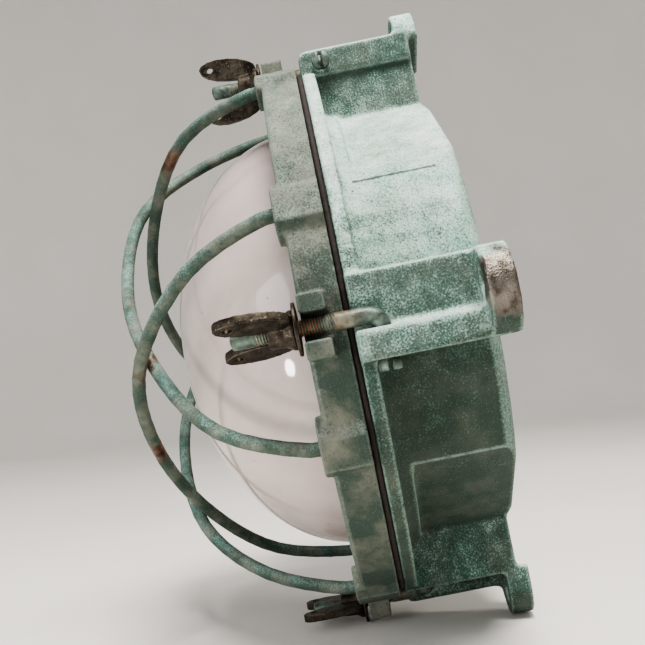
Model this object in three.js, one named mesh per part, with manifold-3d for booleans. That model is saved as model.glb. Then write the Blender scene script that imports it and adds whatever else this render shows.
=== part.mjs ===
// A caged ship's bulkhead light: a cast drum on four feet, an opal globe in a clamped front ring,
// a cage of four crossing wires and four swing bolts with wing nuts.
// Units are millimetres. The bench frame has +Z out of the globe and z = 0 on the mounting plane;
// the last group turns it so that the globe looks along -Y and +Z is up.
import * as THREE from "three";
import { mergeVertices } from "three/addons/utils/BufferGeometryUtils.js";
import Module from "manifold-3d";

const wasm = await Module();
wasm.setup();

// ---------------------------------------------------------------- driving dimensions
const TOUCH = 0.3; // gap between pieces that touch
const STATIONS = 4; // legs, feet and swing bolts around the light
const STEP_DEG = 360 / STATIONS;
const ROUND = 60; // facets of the large turned castings

// globe and its seat in the front ring
const GLOBE_R = 119.5;
const GLOBE_RISE = 84; // of the dome over its rim
const GLOBE_T = 4;
const GLOBE_RIM_W = 10; // the rim stands out this far all round
const GLOBE_RIM_R = GLOBE_R + GLOBE_RIM_W;
const GLOBE_RIM_T = 6;
const SEAT_GASKET_T = 2.2;
const RETAINER_LAND = 11.5; // how far the retaining ring reaches past the globe's rim
const RETAINER_R = GLOBE_RIM_R + RETAINER_LAND;
const RETAINER_T = 3.2;
const RETAINER_BORE = GLOBE_R - 5.5;
const RETAINER_SCREW_R = 2;
const RETAINER_SCREW_LENGTH = 10;
const RETAINER_HEAD_R = 3.4;
const RETAINER_HEAD_T = 2.1;
const RECESS_GAP = 0.5; // round the retaining ring
const RIM_GAP = 1; // round the globe's rim

// front ring
const RING_WALL = 7; // between the gasket's inner edge and the rim
const COVER_GASKET_T = 2.4;
const COVER_GASKET_R = RETAINER_R + 2; // inner radius
const RING_R = COVER_GASKET_R + RING_WALL;
const RING_LIP_R = GLOBE_R + 3; // the opening the globe stands through
const RING_LIP_T = 5;
const RETAINER_SINK = 1.7; // the retaining ring lies this deep in the ring's back
const RING_T =
  RING_LIP_T + SEAT_GASKET_T + GLOBE_RIM_T + RETAINER_T + RETAINER_SINK + 3 * TOUCH;
const RING_CHAMFER = 1.2;
const BOSS_ANGLE = 22; // wire bosses either side of each station
const BOSS_RAISE = 3.5; // out of the rim and out of the front face
const BOSS_HALF = 8;
const BOSS_DRAFT = 5;
const BOSS_ROOT = 9; // from the wire's seat inwards

// clamps: swing bolts, washers and wing nuts
const BOLT_R = 4;
const BORE_GAP = 0.3;
const SPREAD_R = BOLT_R + 1.2;
const SPREAD_LENGTH = 5;
const SPREAD_SLOT = 2;
const BOLT_TIP = 32; // beyond the ring's front face
const WASHER_R = BOLT_R + 8;
const WASHER_T = 1.6;
const WASHER_FREE = 1.4; // the nuts are stored this far backed off
const NUT_BASE_R = BOLT_R + 5;
const NUT_BASE_T = 1.5;
const NUT_FLARE_H = 4.5;
const NUT_HUB_R = BOLT_R + 2.6;
const NUT_HUB_H = 12;
const WING = { length: 17, width: 6.6, rise: 17, tilt: 8, thick: 4.4, hole: 2, holeAt: 0.62 };
const WING_OFFSET = NUT_HUB_R + 6;
const NUT_TURNS = [25, 0, 0, 90]; // degrees that each stored nut stands turned
const FORK_LUG_T = 8.5;
const BEND_R = BOLT_R + 2.2; // centre line of the bolt's bend
const FORK_SLOT = 2 * BEND_R;
const FORK_DEPTH = 12;

// legs and feet, in station coordinates: u outwards, t sideways, z forwards
const FLANGE_FRONT = 70; // height of the flange's front face over the mounting plane
const FLANGE_T = 7;
const FLANGE_FILLET = 8;
const FLANGE_R = RING_R - 1;
const LEG_HALF = 20; // half the width of a leg
const WEB_TOP = RING_R + 0.5; // u of the recessed face beside the rib
const WEB_INSET = 3; // the web stands in from the rib's outer side
const WEB_REAR = 6; // the web stops this far in front of the mounting plane
const BOLT_U = WEB_TOP + BOLT_R + 0.5; // radius of the bolt's axis
const PIVOT_Z = FLANGE_FRONT - 12.5;
const RIB_IN = 0.2 - BEND_R; // t of the rib's inner side, where the bolt's bend ends
const RIB_TOP = BOLT_U + 2 * BOLT_R;
const RIB_CORNER = 4;
const FORK_TIP = RIB_TOP;
const FOOT_T = 13;
const FOOT_TIP = RIB_TOP + 15;
const FOOT_ROOT = WEB_TOP - 3.5;
const FOOT_HOLE_R = 5.5;
const FOOT_HOLE = { u: RIB_TOP - 1, t: RIB_IN + 2 * FOOT_HOLE_R };

// drum
const DRUM_R = FLANGE_R - 27;
const DRUM_WALL = 5.5;
const DRUM_EDGE = 7; // rounding of the rear corner
const BACK_RELIEF = 2.5; // the drum's back stands this far off the mounting plane
const BACK_T = 6;
const ENTRY_FLAT = DRUM_R - 10; // distance of the flat cable-entry faces from the axis
const ENTRY_ANGLES = [60, 120, 240, 300];

// cage: knots by angle from the station, radius, and height over the ring's front face
const WIRE_R = 3.5;
const WIRE_SEAT_R = RING_R - WIRE_R - 1;
const WIRE_SEAT_DEPTH = 7;
const WIRE_GAP = 0.6; // round a wire in its seat
const WIRE_STEPS = 32;
const WIRE_LEAN = 10.05; // how far a wire leans sideways in its first stretch
const CAGE_LOW_R = GLOBE_R + 8.5;
const LEAN_DEG = (WIRE_LEAN / CAGE_LOW_R) * THREE.MathUtils.RAD2DEG;
const CAGE = [
  { angle: BOSS_ANGLE, r: WIRE_SEAT_R, rise: BOSS_RAISE - WIRE_SEAT_DEPTH + TOUCH },
  { angle: BOSS_ANGLE, r: WIRE_SEAT_R, rise: BOSS_RAISE + 1.5 },
  { angle: BOSS_ANGLE - LEAN_DEG, r: CAGE_LOW_R, rise: GLOBE_RISE - 35 },
  { angle: 0, r: GLOBE_R - 29.5, rise: GLOBE_RISE - 1 },
  { angle: -STEP_DEG / 2, r: GLOBE_R - 58, rise: GLOBE_RISE + 11 },
];
const WEAVE = WIRE_R - 0.75; // each wire passes this far outside, then inside, at a crossing

// lamp parts
const LAMP = { bracketW: 22, bracketT: 2, bracketHalf: 38, postR: 5.5, postH: 7 };
const BRACKET_SCREW = { r: 2, length: 8, headR: 4, headT: 2.6 };
const HOLDER = { r: 20, height: 44, bore: 14.9, depth: 30, shoulder: 20, neckIn: 2.5 };
const SLEEVE = { r: HOLDER.bore - TOUCH, wall: 1, height: 24 };
const BULB = { capR: SLEEVE.r - SLEEVE.wall - 0.4, capH: 26, neckR: 15, glassR: 30, length: 104 };
const GLAND = {
  z: FLANGE_FRONT - 32,
  entryR: 8.2,
  collarR: 13,
  collarT: 5,
  barrelR: 9.6,
  bore: 6.4,
  reach: 18,
};
const TERMINAL = { x: 34, y: 16, z: 15, gap: 2.4, wayR: 2.4, at: LAMP.bracketHalf + 24 };
const EARTH = { y: -LAMP.bracketHalf - 20, r: 6, height: 6 };
const EARTH_SCREW = { r: 2.5, length: 7, headR: 5, headT: 3 };

// ---------------------------------------------------------------- derived heights
const RING_BACK = FLANGE_FRONT + COVER_GASKET_T + 2 * TOUCH;
const RING_FRONT = RING_BACK + RING_T;
const FLOOR = BACK_RELIEF + BACK_T;
const SEAT_TOP = RING_FRONT - RING_LIP_T;
const RIM_TOP = SEAT_TOP - SEAT_GASKET_T - 2 * TOUCH;
const RIM_BACK = RIM_TOP - GLOBE_RIM_T;
const RETAINER_FRONT = RIM_BACK - TOUCH;
const RETAINER_BACK = RETAINER_FRONT - RETAINER_T;
const RETAINER_SCREW_AT = (GLOBE_RIM_R + RETAINER_R) / 2;
const WASHER_Z = RING_FRONT + WASHER_FREE;
const NUT_Z = WASHER_Z + WASHER_T + TOUCH;

// ---------------------------------------------------------------- materials
function material(color, metalness, roughness, more = {}) {
  return new THREE.MeshStandardMaterial({ color, metalness, roughness, ...more });
}
const VERDIGRIS = material(0x7fa596, 0.35, 0.8);
const VERDIGRIS_WIRE = material(0x6c9583, 0.4, 0.75);
const BROWN_BRONZE = material(0x4c4238, 0.75, 0.5);
const BOLT_BRONZE = material(0x59635a, 0.7, 0.5);
const RUBBER = material(0x35231c, 0, 0.85);
const OPAL = material(0xe3d6d4, 0, 0.18);
const BRASS = material(0xb08d4f, 0.9, 0.4);
const STEEL = material(0x9a9c9b, 0.9, 0.4);
const PORCELAIN = material(0xece8de, 0, 0.25);
const CLEAR_GLASS = material(0xf4f6f6, 0, 0.05, { transparent: true, opacity: 0.4 });

// ---------------------------------------------------------------- shape helpers
const radians = THREE.MathUtils.degToRad;

// A position-only, merged copy of a geometry with its faces pointing out, as a solid.
function solid(geometry) {
  const bare = new THREE.BufferGeometry();
  const source = geometry.index ? geometry.toNonIndexed() : geometry;
  bare.setAttribute("position", source.getAttribute("position"));
  const merged = mergeVertices(bare, 1e-3);
  const vertices = merged.getAttribute("position").array;
  const faces = [...merged.index.array];
  const triangles = [];
  for (let i = 0; i < faces.length; i += 3) {
    const [a, b, c] = faces.slice(i, i + 3);
    if (a !== b && b !== c && a !== c) triangles.push(a, b, c);
  }
  if (signedVolume(vertices, triangles) < 0) triangles.reverse();
  const triVerts = new Uint32Array(triangles);
  return new wasm.Manifold(new wasm.Mesh({ numProp: 3, vertProperties: vertices, triVerts }));
}

function signedVolume(vertices, triangles) {
  const corner = (i) => new THREE.Vector3().fromArray(vertices, 3 * i);
  let total = 0;
  for (let i = 0; i < triangles.length; i += 3) {
    const [a, b, c] = triangles.slice(i, i + 3).map(corner);
    total += a.dot(b.cross(c));
  }
  return total;
}

const joined = (...pieces) => pieces.flat().reduce((sum, piece) => sum.add(piece));
const cut = (body, ...tools) => tools.flat().reduce((rest, tool) => rest.subtract(tool), body);

// A turned solid about Z from [radius, height] points that start and end on the axis, or close.
function turned(points, facets = ROUND) {
  const profile = points.map(([r, z]) => new THREE.Vector2(r, z));
  const onAxis = profile[0].x === 0 && profile.at(-1).x === 0;
  if (!onAxis) profile.push(profile[0].clone());
  return solid(new THREE.LatheGeometry(profile, facets).rotateX(Math.PI / 2));
}

const ringOf = (inner, outer, z0, z1, facets = ROUND) =>
  turned([[inner, z0], [outer, z0], [outer, z1], [inner, z1]], facets);

function rodGeometry(r, z0, z1, facets = 20, x = 0, y = 0) {
  const rod = new THREE.CylinderGeometry(r, r, z1 - z0, facets).rotateX(Math.PI / 2);
  return rod.translate(x, y, (z0 + z1) / 2);
}
const rod = (...sizes) => solid(rodGeometry(...sizes));

function slabGeometry(x0, x1, y0, y1, z0, z1) {
  const slab = new THREE.BoxGeometry(x1 - x0, y1 - y0, z1 - z0);
  return slab.translate((x0 + x1) / 2, (y0 + y1) / 2, (z0 + z1) / 2);
}
const slab = (...limits) => solid(slabGeometry(...limits));

// A shape drawn in x, y and raised from z0 to z1.
function raised(shape, z0, z1, curveSegments = 10) {
  const depth = z1 - z0;
  return new THREE.ExtrudeGeometry(shape, { depth, bevelEnabled: false, curveSegments })
    .translate(0, 0, z0);
}

// A shape drawn in u, z and given its thickness sideways, from t0 to t1.
const upright = (shape, t0, t1, curveSegments = 10) =>
  raised(shape, -t1, -t0, curveSegments).rotateX(Math.PI / 2);

const polygon = (points) => new THREE.Shape(points.map(([x, y]) => new THREE.Vector2(x, y)));
const around = (geometry, degrees) => geometry.clone().rotateZ(radians(degrees));
const angles = Array.from({ length: STATIONS }, (_, k) => k * STEP_DEG);

function arc(cx, cz, r, from, to, steps) {
  const at = (i) => radians(from + ((to - from) * i) / steps);
  return Array.from({ length: steps + 1 }, (_, i) => [
    cx + r * Math.cos(at(i)),
    cz + r * Math.sin(at(i)),
  ]);
}

// ---------------------------------------------------------------- scene graph helpers
const light = new THREE.Group();
const bench = new THREE.Group();
bench.rotation.x = Math.PI / 2;
light.add(bench);

function place(name, body, look, parent = bench) {
  const mesh = body.getMesh();
  const geometry = new THREE.BufferGeometry();
  geometry.setAttribute("position", new THREE.BufferAttribute(mesh.vertProperties, 3));
  geometry.setIndex(new THREE.BufferAttribute(mesh.triVerts, 1));
  const flat = geometry.toNonIndexed();
  flat.computeVertexNormals();
  const node = new THREE.Mesh(flat, look);
  node.name = name;
  parent.add(node);
  return node;
}

// ---------------------------------------------------------------- housing
// The drum's own wall, with flats for cable entries; inset moves every face inwards.
function drumCore(inset, z0, z1, edge) {
  const r = DRUM_R - inset;
  const rear = edge > 0 ? arc(r - edge, z0 + edge, edge, -90, 0, 5) : [[r, z0]];
  const core = turned([[0, z0], ...rear, [r, z1], [0, z1]]);
  const keep = 2 * DRUM_R;
  const flat = ENTRY_FLAT - inset;
  const beyond = slabGeometry(flat, flat + keep, -keep, keep, z0 - 1, z1 + 1);
  return cut(core, ENTRY_ANGLES.map((angle) => solid(around(beyond, angle))));
}

function flangePlate() {
  const back = FLANGE_FRONT - FLANGE_T;
  const root = DRUM_R + FLANGE_FILLET;
  const fillet = arc(root, back - FLANGE_FILLET, FLANGE_FILLET, 180, 90, 5);
  const inner = ENTRY_FLAT - DRUM_WALL - 6;
  return turned([
    [inner, back - FLANGE_FILLET],
    ...fillet,
    [FLANGE_R, back],
    [FLANGE_R, FLANGE_FRONT],
    [inner, FLANGE_FRONT],
  ]);
}

function legParts() {
  const web = slabGeometry(
    ENTRY_FLAT, WEB_TOP, WEB_INSET - LEG_HALF, LEG_HALF, WEB_REAR, FLANGE_FRONT,
  );
  const rib = upright(
    polygon([
      [FOOT_ROOT, WEB_REAR],
      [RIB_TOP, WEB_REAR],
      [RIB_TOP, FLANGE_FRONT - RIB_CORNER],
      [RIB_TOP - RIB_CORNER / 3, FLANGE_FRONT - RIB_CORNER / 3],
      [RIB_TOP - RIB_CORNER, FLANGE_FRONT],
      [FOOT_ROOT, FLANGE_FRONT],
    ]),
    -LEG_HALF,
    RIB_IN,
  );
  const tip = new THREE.Shape();
  const middle = FOOT_TIP - LEG_HALF;
  tip.moveTo(FOOT_ROOT, -LEG_HALF);
  tip.absarc(middle, 0, LEG_HALF, -Math.PI / 2, Math.PI / 2);
  tip.lineTo(FOOT_ROOT, LEG_HALF);
  const foot = raised(tip, 0, FOOT_T, 14);
  const sunk = 1; // the cove starts this far inside the rib and the foot
  const reach = 4;
  const hollow = 0.3 * reach;
  const cove = upright(
    polygon([
      [RIB_TOP - sunk, FOOT_T - sunk],
      [RIB_TOP + reach, FOOT_T - sunk],
      [RIB_TOP + reach, FOOT_T],
      [RIB_TOP + hollow, FOOT_T + hollow],
      [RIB_TOP, FOOT_T + reach],
      [RIB_TOP - sunk, FOOT_T + reach],
    ]),
    5 - LEG_HALF,
    RIB_IN,
  );
  return [web, rib, foot, cove];
}

function legCuts() {
  const { u, t } = FOOT_HOLE;
  const bolt = rodGeometry(FOOT_HOLE_R, -1, FOOT_T + 1, 20, u, t);
  const pivot = rodGeometry(BOLT_R + BORE_GAP, -1 - LEG_HALF, 1 + RIB_IN, 16)
    .rotateX(-Math.PI / 2)
    .translate(BOLT_U, 0, PIVOT_Z);
  return [bolt, pivot];
}

const bracketPosts = [-1, 1].map((side) => side * (LAMP.bracketHalf - LAMP.postR));
const GLAND_ANGLE = ENTRY_ANGLES[2];

function housing() {
  let body = joined(
    drumCore(0, BACK_RELIEF, FLANGE_FRONT, DRUM_EDGE),
    flangePlate(),
    angles.flatMap((angle) => legParts().map((piece) => solid(around(piece, angle)))),
  );
  body = cut(body, drumCore(DRUM_WALL, FLOOR, FLANGE_FRONT + 1, 0));
  body = joined(
    body,
    bracketPosts.map((x) => rod(LAMP.postR, FLOOR - 1, FLOOR + LAMP.postH, 16, x, 0)),
    rod(EARTH.r, FLOOR - 1, FLOOR + EARTH.height, 16, 0, EARTH.y),
  );
  const entry = rodGeometry(GLAND.entryR + BORE_GAP, ENTRY_FLAT - 20, ENTRY_FLAT + 5, 20)
    .rotateY(Math.PI / 2)
    .translate(0, 0, GLAND.z);
  const screwBore = BRACKET_SCREW.r + BORE_GAP;
  return cut(
    body,
    angles.flatMap((angle) => legCuts().map((tool) => solid(around(tool, angle)))),
    solid(around(entry, GLAND_ANGLE)),
    bracketPosts.map((x) => rod(screwBore, FLOOR - 1, FLOOR + LAMP.postH + 1, 12, x, 0)),
    rod(EARTH_SCREW.r + BORE_GAP, FLOOR - 1, FLOOR + EARTH.height + 1, 12, 0, EARTH.y),
  );
}

// ---------------------------------------------------------------- cover
function bossGeometry() {
  const outer = RING_R + BOSS_RAISE;
  const wide = BOSS_HALF + BOSS_DRAFT;
  return raised(
    polygon([
      [WIRE_SEAT_R - BOSS_ROOT, -wide],
      [RING_R - 1, -wide],
      [outer, -BOSS_HALF],
      [outer, BOSS_HALF],
      [RING_R - 1, wide],
      [WIRE_SEAT_R - BOSS_ROOT, wide],
    ]),
    RING_BACK,
    RING_FRONT + BOSS_RAISE,
  );
}

function forkGeometries() {
  const inside = FORK_SLOT / 2;
  return [-1, 1].map((side) => {
    const near = side * inside;
    const far = side * (inside + FORK_LUG_T);
    const [t0, t1] = [Math.min(near, far), Math.max(near, far)];
    return slabGeometry(RING_R - 5, FORK_TIP, t0, t1, RING_FRONT - FORK_DEPTH, RING_FRONT);
  });
}

const bossAngles = angles.flatMap((angle) => [angle - BOSS_ANGLE, angle + BOSS_ANGLE]);
const screwAngles = angles.map((angle) => angle + STEP_DEG / 2);

function frontRing() {
  const body = turned([
    [RING_LIP_R, RING_BACK],
    [RING_R, RING_BACK],
    [RING_R, RING_FRONT - RING_CHAMFER],
    [RING_R - RING_CHAMFER, RING_FRONT],
    [RING_LIP_R, RING_FRONT],
  ]);
  const recesses = [
    rod(GLOBE_RIM_R + RIM_GAP, RING_BACK - 1, SEAT_TOP, ROUND),
    rod(RETAINER_R + RECESS_GAP, RING_BACK - 1, RETAINER_FRONT + TOUCH, ROUND),
  ];
  const seat = rodGeometry(
    WIRE_R + WIRE_GAP,
    RING_FRONT + BOSS_RAISE - WIRE_SEAT_DEPTH,
    RING_FRONT + BOSS_RAISE + 1,
    14,
    WIRE_SEAT_R,
  );
  const screw = rodGeometry(
    RETAINER_SCREW_R + BORE_GAP,
    RING_BACK - 1,
    RETAINER_BACK + RETAINER_SCREW_LENGTH + 1,
    12,
    RETAINER_SCREW_AT,
  );
  const full = joined(
    body,
    bossAngles.map((angle) => solid(around(bossGeometry(), angle))),
    angles.flatMap((angle) => forkGeometries().map((lug) => solid(around(lug, angle)))),
  );
  return cut(
    full,
    recesses,
    bossAngles.map((angle) => solid(around(seat, angle))),
    screwAngles.map((angle) => solid(around(screw, angle))),
  );
}

// Points of a globe surface set in from the outside, from one angle of its quarter ellipse to another.
function globeCurve(inset, from, to, steps = 9) {
  return Array.from({ length: steps + 1 }, (_, i) => {
    const a = radians(from + ((to - from) * i) / steps);
    const r = (GLOBE_R - inset) * Math.cos(a);
    return [r < TOUCH ? 0 : r, RIM_TOP + (GLOBE_RISE - inset) * Math.sin(a)];
  });
}

function globe() {
  return turned(
    [
      ...globeCurve(GLOBE_T, 90, 0),
      [GLOBE_R - GLOBE_T, RIM_BACK],
      [GLOBE_RIM_R, RIM_BACK],
      [GLOBE_RIM_R, RIM_TOP],
      ...globeCurve(0, 0, 90),
    ],
    48,
  );
}

function retainer() {
  const plate = ringOf(RETAINER_BORE, RETAINER_R, RETAINER_BACK, RETAINER_FRONT);
  const hole = rodGeometry(
    RETAINER_SCREW_R + BORE_GAP, RETAINER_BACK - 1, RETAINER_FRONT + 1, 12, RETAINER_SCREW_AT,
  );
  return cut(plate, screwAngles.map((angle) => solid(around(hole, angle))));
}

// A slotted pan-head screw whose head's underside is at z = 0 and whose shank points up.
function panScrew({ r: shankR, length, headR, headT }) {
  const slot = 0.5 * headT;
  const body = turned(
    [
      [0, -headT],
      [0.8 * headR, -headT],
      [headR, -0.6 * headT],
      [headR, 0],
      [shankR, 0],
      [shankR, length],
      [0, length],
    ],
    16,
  );
  return cut(body, slab(-headR, headR, -0.5, 0.5, -headT - 1, slot - headT));
}

// The centre line of one cage wire, from its boss past two crossings to its far boss.
function wirePath() {
  const point = ({ angle, r, rise }, weave) => {
    const a = radians(angle);
    const reach = r + weave;
    return new THREE.Vector3(
      reach * Math.cos(a), reach * Math.sin(a), RING_FRONT + rise + weave,
    );
  };
  const crossing = CAGE.findIndex(({ angle }) => angle === 0);
  const near = CAGE.map((knot, i) => point(knot, i === crossing ? WEAVE : 0));
  const far = CAGE.slice(0, -1)
    .map((knot, i) => point({ ...knot, angle: -STEP_DEG - knot.angle }, i === crossing ? -WEAVE : 0))
    .reverse();
  return new THREE.CatmullRomCurve3([...near, ...far], false, "centripetal");
}

function wire() {
  const section = new THREE.Shape();
  section.absarc(0, 0, WIRE_R, 0, 2 * Math.PI);
  const geometry = new THREE.ExtrudeGeometry(section, {
    steps: WIRE_STEPS,
    curveSegments: 5,
    bevelEnabled: false,
    extrudePath: wirePath(),
  });
  return solid(geometry);
}

// ---------------------------------------------------------------- clamps, in station coordinates
function swingBolt() {
  const bendZ = PIVOT_Z + BEND_R;
  const tip = RING_FRONT + BOLT_TIP;
  const shank = turned(
    [
      [0, bendZ],
      [BOLT_R, bendZ],
      [BOLT_R, tip - 3],
      [0.8 * BOLT_R, tip - 1],
      [0, tip],
    ],
    16,
  );
  const section = new THREE.Shape();
  section.absarc(0, 0, BOLT_R, 0, 2 * Math.PI);
  const elbow = new THREE.QuadraticBezierCurve3(
    new THREE.Vector3(0, 0, bendZ + 0.1),
    new THREE.Vector3(0, 0, PIVOT_Z),
    new THREE.Vector3(0, -BEND_R - 0.1, PIVOT_Z),
  );
  const bend = new THREE.ExtrudeGeometry(section, {
    steps: 8,
    curveSegments: 8,
    bevelEnabled: false,
    extrudePath: elbow,
  });
  const legEnd = LEG_HALF + TOUCH + SPREAD_LENGTH;
  const leg = rodGeometry(BOLT_R, BEND_R, legEnd, 16)
    .rotateX(Math.PI / 2)
    .translate(0, 0, PIVOT_Z);
  const spread = rodGeometry(SPREAD_R, LEG_HALF + TOUCH, legEnd, 16)
    .rotateX(Math.PI / 2)
    .translate(0, 0, PIVOT_Z);
  const whole = joined(shank, solid(bend), solid(leg), solid(spread));
  const slotEnd = LEG_HALF + TOUCH + 1;
  const half = SPREAD_SLOT / 2;
  return cut(
    whole,
    slab(-half, half, -legEnd - 1, -slotEnd, PIVOT_Z - SPREAD_R - 1, PIVOT_Z + SPREAD_R + 1),
  );
}

function wingNut() {
  const wing = new THREE.Shape();
  wing.absellipse(0, 0, WING.width, WING.length, 0, 2 * Math.PI, false, 0);
  const hole = new THREE.Path();
  hole.absarc(0, WING.holeAt * WING.length, WING.hole, 0, 2 * Math.PI, true);
  wing.holes.push(hole);
  const petal = (side) =>
    upright(wing, -WING.thick / 2, WING.thick / 2, 8)
      .rotateY(side * radians(WING.tilt))
      .translate(side * WING_OFFSET, 0, WING.rise);
  const hub = turned(
    [
      [0, 0],
      [NUT_BASE_R, 0],
      [NUT_BASE_R, NUT_BASE_T],
      [NUT_HUB_R + 0.6, NUT_FLARE_H],
      [NUT_HUB_R, NUT_HUB_H],
      [0, NUT_HUB_H],
    ],
    16,
  );
  const swept = joined([-1, 1].map((side) => solid(petal(side))));
  const wide = WING_OFFSET + WING.length;
  const trim = slab(-wide, wide, -WING.width, WING.width, -WING.length, 0);
  const bore = rod(BOLT_R + BORE_GAP, -1, 2 * WING.length + WING.rise, 16);
  return cut(joined(hub, cut(swept, trim)), bore);
}

// ---------------------------------------------------------------- lamp parts
const BRACKET_Z = FLOOR + LAMP.postH + TOUCH;
const HOLDER_Z = BRACKET_Z + LAMP.bracketT + TOUCH;
const SLEEVE_Z = HOLDER_Z + HOLDER.height - SLEEVE.height - 1;
const CAP_Z = SLEEVE_Z + TOUCH;

function bracket() {
  const { bracketHalf, bracketW, bracketT } = LAMP;
  const half = bracketW / 2;
  const strip = slab(-bracketHalf, bracketHalf, -half, half, BRACKET_Z, BRACKET_Z + bracketT);
  return cut(
    strip,
    bracketPosts.map((x) => {
      return rod(BRACKET_SCREW.r + BORE_GAP, BRACKET_Z - 1, BRACKET_Z + bracketT + 1, 12, x, 0);
    }),
  );
}

function lampholder() {
  const top = HOLDER_Z + HOLDER.height;
  return turned(
    [
      [0, HOLDER_Z],
      [HOLDER.r - 2, HOLDER_Z],
      [HOLDER.r, HOLDER_Z + 3],
      [HOLDER.r, HOLDER_Z + HOLDER.shoulder],
      [HOLDER.r - HOLDER.neckIn, HOLDER_Z + HOLDER.shoulder + 3],
      [HOLDER.r - HOLDER.neckIn, top],
      [HOLDER.bore, top],
      [HOLDER.bore, top - HOLDER.depth],
      [0, top - HOLDER.depth],
    ],
    32,
  );
}

function bulbGlass() {
  const neckZ = CAP_Z + BULB.capH + TOUCH;
  const centre = neckZ + BULB.length - BULB.capH - BULB.glassR;
  const crown = arc(0, centre, BULB.glassR, -48, 90, 9).map(([r, z], i, all) =>
    i === all.length - 1 ? [0, z] : [r, z],
  );
  return turned([[0, neckZ], [BULB.neckR, neckZ], [BULB.neckR + 1, neckZ + 8], ...crown], 24);
}

function glandParts() {
  const { entryR, collarR, collarT, barrelR, bore, reach } = GLAND;
  const face = ENTRY_FLAT + TOUCH;
  const end = face + collarT + reach;
  const body = joined(
    ringOf(bore, entryR, ENTRY_FLAT - DRUM_WALL - 4, face + 1, 20),
    cut(rod(collarR, face, face + collarT, 6), rod(bore, face - 1, face + collarT + 1, 20)),
    ringOf(bore, barrelR, face + collarT - 1, end, 20),
  );
  const nut = cut(
    rod(collarR + 1, face + collarT + 6, end + 4, 6),
    rod(barrelR + TOUCH, face, end + TOUCH, 20),
    rod(bore - 0.4, face, end + 6, 20),
  );
  const disc = rod(bore - TOUCH, end - 6, end, 20);
  return { body, nut, disc };
}

function terminalBlock() {
  const { x, y, z, gap } = TERMINAL;
  const low = FLOOR + TOUCH;
  const block = slab(-x / 2, x / 2, -y / 2, y / 2, low, low + z);
  const grooves = [-1, 0, 1].map((i) =>
    slab(i * (x / 3) - gap / 2, i * (x / 3) + gap / 2, -y, y, low + z - 5, low + z + 1),
  );
  const ways = [-0.5, 0.5].map((i) =>
    solid(
      rodGeometry(TERMINAL.wayR, -y, y, 12)
        .rotateX(Math.PI / 2)
        .translate(i * (x / 3), 0, low + 5),
    ),
  );
  return cut(block, grooves, ways);
}

// ---------------------------------------------------------------- assembly
place("housing", housing(), VERDIGRIS);
place(
  "cover_gasket",
  ringOf(COVER_GASKET_R, FLANGE_R - 0.5, FLANGE_FRONT + TOUCH, RING_BACK - TOUCH),
  RUBBER,
);
place("front_ring", frontRing(), VERDIGRIS);
place(
  "globe_gasket",
  ringOf(RING_LIP_R + 1, GLOBE_RIM_R, RIM_TOP + TOUCH, SEAT_TOP - TOUCH),
  RUBBER,
);
place("glass_globe", globe(), OPAL);
place("globe_retaining_ring", retainer(), BRASS);

screwAngles.forEach((angle, i) => {
  const screw = panScrew({
    r: RETAINER_SCREW_R,
    length: RETAINER_SCREW_LENGTH,
    headR: RETAINER_HEAD_R,
    headT: RETAINER_HEAD_T,
  });
  const node = place(`retaining_screw_${i + 1}`, screw, BRASS);
  const a = radians(angle);
  node.position.set(
    RETAINER_SCREW_AT * Math.cos(a), RETAINER_SCREW_AT * Math.sin(a), RETAINER_BACK - TOUCH,
  );
});

angles.forEach((angle, i) => {
  const station = new THREE.Group();
  station.rotation.z = radians(angle);
  bench.add(station);
  place(`cage_wire_${i + 1}`, wire(), VERDIGRIS_WIRE, station);
  const clamp = new THREE.Group();
  clamp.position.x = BOLT_U;
  station.add(clamp);
  place(`swing_bolt_${i + 1}`, swingBolt(), BOLT_BRONZE, clamp);
  const washer = ringOf(BOLT_R + BORE_GAP, WASHER_R, 0, WASHER_T, 24);
  place(`clamp_washer_${i + 1}`, washer, BROWN_BRONZE, clamp).position.z = WASHER_Z;
  const nut = place(`wing_nut_${i + 1}`, wingNut(), BROWN_BRONZE, clamp);
  nut.position.z = NUT_Z;
  nut.rotation.z = radians(NUT_TURNS[i]);
});

place("lampholder_bracket", bracket(), STEEL);
bracketPosts.forEach((x, i) => {
  const node = place(`bracket_screw_${i + 1}`, panScrew(BRACKET_SCREW), STEEL);
  node.rotation.x = Math.PI;
  node.position.set(x, 0, BRACKET_Z + LAMP.bracketT + TOUCH);
});
place("lampholder", lampholder(), PORCELAIN);
place(
  "lampholder_sleeve",
  ringOf(SLEEVE.r - SLEEVE.wall, SLEEVE.r, SLEEVE_Z, SLEEVE_Z + SLEEVE.height, 32),
  BRASS,
);
place("bulb_cap", rod(BULB.capR, CAP_Z, CAP_Z + BULB.capH, 32), STEEL);
place("bulb_glass", bulbGlass(), CLEAR_GLASS);

const terminal = place("terminal_block", terminalBlock(), PORCELAIN);
terminal.position.y = TERMINAL.at;
const earthScrew = place("earth_screw", panScrew(EARTH_SCREW), BRASS);
earthScrew.rotation.x = Math.PI;
earthScrew.position.set(0, EARTH.y, FLOOR + EARTH.height + TOUCH);

const entrySide = new THREE.Group();
entrySide.rotation.z = radians(GLAND_ANGLE);
bench.add(entrySide);
const entryAxis = new THREE.Group();
entryAxis.rotation.y = Math.PI / 2;
entryAxis.position.z = GLAND.z;
entrySide.add(entryAxis);
const gland = glandParts();
place("cable_gland_body", gland.body, BRASS, entryAxis);
place("gland_blanking_disc", gland.disc, RUBBER, entryAxis);
place("cable_gland_nut", gland.nut, BRASS, entryAxis);

export default light;
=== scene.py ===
"""A caged ship's bulkhead light in old gunmetal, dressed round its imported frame.

The castings, cage wires, washers and wing nuts are softened and roughened copies of the frame's
solids, the swing bolts get cut threads, and the globe is spun fresh. Lengths are in metres.
"""

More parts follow.
